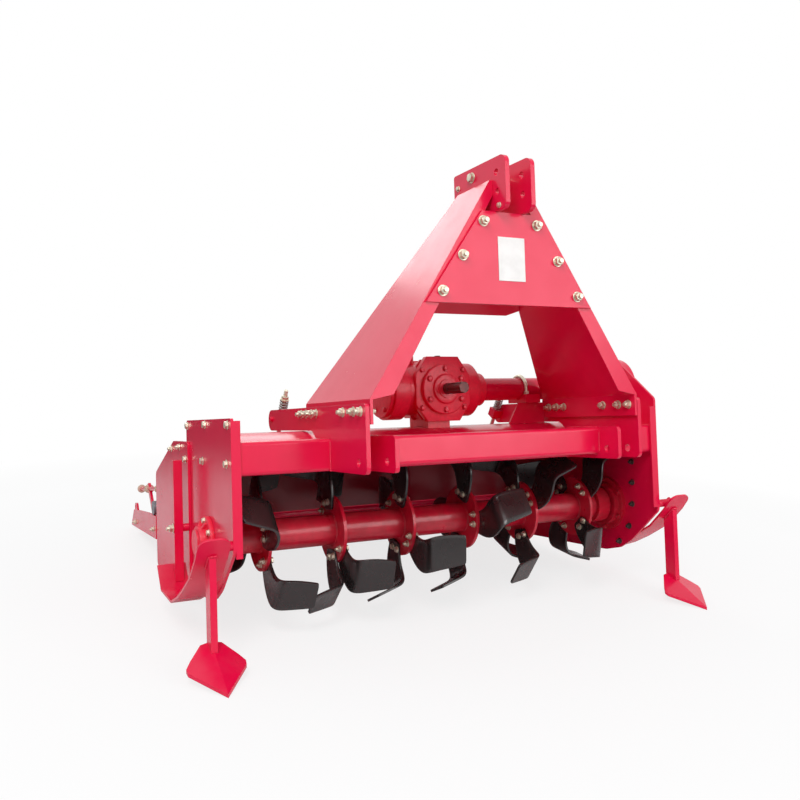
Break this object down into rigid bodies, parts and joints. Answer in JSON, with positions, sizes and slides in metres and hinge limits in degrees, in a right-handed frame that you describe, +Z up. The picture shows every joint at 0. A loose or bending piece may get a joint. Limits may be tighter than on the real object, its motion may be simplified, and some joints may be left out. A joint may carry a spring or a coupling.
{
  "type": "bed former",
  "caption": "Tractor-mounted rotary bed former with an A-frame mast, side-driven blade rotor, front shovels, skids and a spring-hung bed board.",
  "frame": {"origin": "on the floor under the middle of the machine's bounding box", "axes": "+Z up, +X to the machine's right hand as it is driven, +Y to the rear, away from the tractor"},
  "size_m": [1.742, 1.7245, 1.3742],
  "materials": {
    "red_paint": "gloss",
    "black_blade": "satin",
    "zinc": "satin",
    "bare_steel": "satin",
    "blank_label": "matte"
  },
  "bodies": {
    "frame": {"side_plate_left": "red_paint", "side_plate_right": "red_paint", "rear_plate_left": "red_paint", "rear_plate_right": "red_paint", "main_beam": "red_paint", "cross_tube": "red_paint", "hitch_plate_outer_left": "red_paint", "hitch_plate_outer_right": "red_paint", "hitch_plate_inner_left": "red_paint", "hitch_plate_inner_right": "red_paint", "mast_leg_left": "red_paint", "mast_leg_right": "red_paint", "mast_gusset_front": "red_paint", "label_plate": "blank_label", "mast_gusset_rear": "red_paint", "top_clevis_left": "red_paint", "top_clevis_right": "red_paint", "clevis_spacer": "zinc", "gearbox_housing": "red_paint", "gearbox_cap": "red_paint", "side_drive_tube": "red_paint", "gearbox_foot": "red_paint", "tube_stand": "red_paint", "drive_case": "red_paint", "bearing_hub": "red_paint", "rotor_bearing": "red_paint", "rotor_hood": "red_paint", "hinge_bar": "zinc", "skid_left": "red_paint", "skid_right": "red_paint", "skid_strut_left": "red_paint", "skid_strut_right": "red_paint", "shovel_left": "red_paint", "shovel_right": "red_paint", "shovel_shank_left": "red_paint", "shovel_shank_right": "red_paint"},
    "rotor": {"rotor_shaft": "red_paint", "blade_set_1": "black_blade", "blade_set_2": "black_blade", "blade_set_3": "black_blade", "blade_set_4": "black_blade", "blade_set_5": "black_blade", "blade_set_6": "black_blade"},
    "input_shaft": {"pto_shaft": "bare_steel"},
    "bed_board": {"bed_board": "red_paint", "board_cheek_left": "red_paint", "board_cheek_right": "red_paint", "board_pipe": "zinc", "board_adjuster_left": "red_paint", "board_adjuster_right": "red_paint"},
    "swivel_left": {"rod_swivel_left": "red_paint"},
    "spring_rod_left": {"spring_rod_left": "zinc"},
    "swivel_right": {"rod_swivel_right": "red_paint"},
    "spring_rod_right": {"spring_rod_right": "zinc"}
  },
  "joints": [
    {"name": "input_spin", "type": "hinge", "parent": "frame", "child": "input_shaft", "pos_m": [0, -0.57186, 0.71697], "axis": [0, -0.9908, 0.1354], "continuous": true},
    {"name": "rotor_spin", "type": "hinge", "parent": "frame", "child": "rotor", "pos_m": [0, -0.41399, 0.26948], "axis": [1, 0, 0], "continuous": true},
    {"name": "board_lift", "type": "hinge", "parent": "frame", "child": "bed_board", "pos_m": [0, -0.0972, 0.24638], "axis": [1, 0, 0], "range_deg": [0, 15]},
    {"name": "swivel_left_turn", "type": "hinge", "parent": "frame", "child": "swivel_left", "pos_m": [-0.425, -0.11094, 0.57425], "axis": [1, 0, 0], "range_deg": [0, 3.42]},
    {"name": "rod_left_slide", "type": "slide", "parent": "swivel_left", "child": "spring_rod_left", "axis": [0, -0.4232, 0.906], "range_m": [0, 0.03521]},
    {"name": "swivel_right_turn", "type": "hinge", "parent": "frame", "child": "swivel_right", "pos_m": [0.425, -0.11094, 0.57425], "axis": [1, 0, 0], "range_deg": [0, 3.42]},
    {"name": "rod_right_slide", "type": "slide", "parent": "swivel_right", "child": "spring_rod_right", "axis": [0, -0.4232, 0.906], "range_m": [0, 0.03521]}
  ],
  "couplings": [
    {"joint": "rotor_spin", "follows": "input_spin", "ratio": 0.4},
    {"joint": "swivel_left_turn", "follows": "board_lift", "ratio": 0.2275},
    {"joint": "rod_left_slide", "follows": "board_lift", "m_per_rad": 0.1341},
    {"joint": "swivel_right_turn", "follows": "board_lift", "ratio": 0.2275},
    {"joint": "rod_right_slide", "follows": "board_lift", "m_per_rad": 0.1341}
  ]
}
